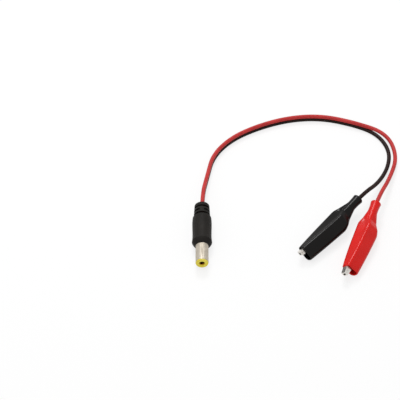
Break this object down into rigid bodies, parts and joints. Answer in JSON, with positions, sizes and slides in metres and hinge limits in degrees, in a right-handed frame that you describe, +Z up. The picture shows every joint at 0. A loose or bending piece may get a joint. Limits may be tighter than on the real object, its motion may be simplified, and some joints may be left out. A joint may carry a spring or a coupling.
{
  "type": "dc power cable",
  "caption": "DC power lead: a barrel plug with a moulded handle on a short red and black twin wire that ends in sprung crocodile clips in soft boots.",
  "frame": {"origin": "on the plug's axis at the front face of its handle", "axes": "-Y along the barrel, away from the handle; +X to the right of the plug; +Z up from the surface the lead lies on"},
  "size_m": [0.0927, 0.0968, 0.0099],
  "materials": {
    "moulded_black": "satin",
    "nickel": "plated, slightly dull",
    "yellow_plastic": "gloss",
    "brass": "plain",
    "copper": "bare copper strands",
    "steel": "plain",
    "red_vinyl": "satin",
    "black_vinyl": "satin",
    "red_boot_vinyl": "gloss",
    "black_boot_vinyl": "gloss"
  },
  "bodies": {
    "root": {"plug_housing": "moulded_black", "plug_sleeve": "nickel", "tip_insulator": "yellow_plastic", "center_contact": "brass", "sleeve_lug": "brass", "red_plug_strands": "copper", "black_plug_strands": "copper", "red_wire": "red_vinyl", "black_wire": "black_vinyl", "black_boot": "black_boot_vinyl", "black_fixed_jaw": "nickel", "black_pivot_pin": "steel", "black_spring": "steel", "black_strands": "copper", "red_boot": "red_boot_vinyl", "red_fixed_jaw": "nickel", "red_pivot_pin": "steel", "red_spring": "steel", "red_strands": "copper"},
    "black_jaw": {"black_moving_jaw": "nickel"},
    "red_jaw": {"red_moving_jaw": "nickel"}
  },
  "joints": [
    {"name": "black_jaw_hinge", "type": "hinge", "parent": "root", "child": "black_jaw", "pos_m": [0.05414, 0.00801, 0.00029], "axis": [0.4838, -0.503, 0.7162], "range_deg": [0, 20], "stiffness_Nm_per_rad": 0.03, "springref_deg": -34.38, "deforming": ["black_spring", "black_boot"]},
    {"name": "red_jaw_hinge", "type": "hinge", "parent": "root", "child": "red_jaw", "pos_m": [0.06747, 0.00029, 0.00021], "axis": [0.6245, -0.3116, 0.7162], "range_deg": [0, 20], "stiffness_Nm_per_rad": 0.03, "springref_deg": -34.38, "deforming": ["red_spring", "red_boot"]}
  ]
}
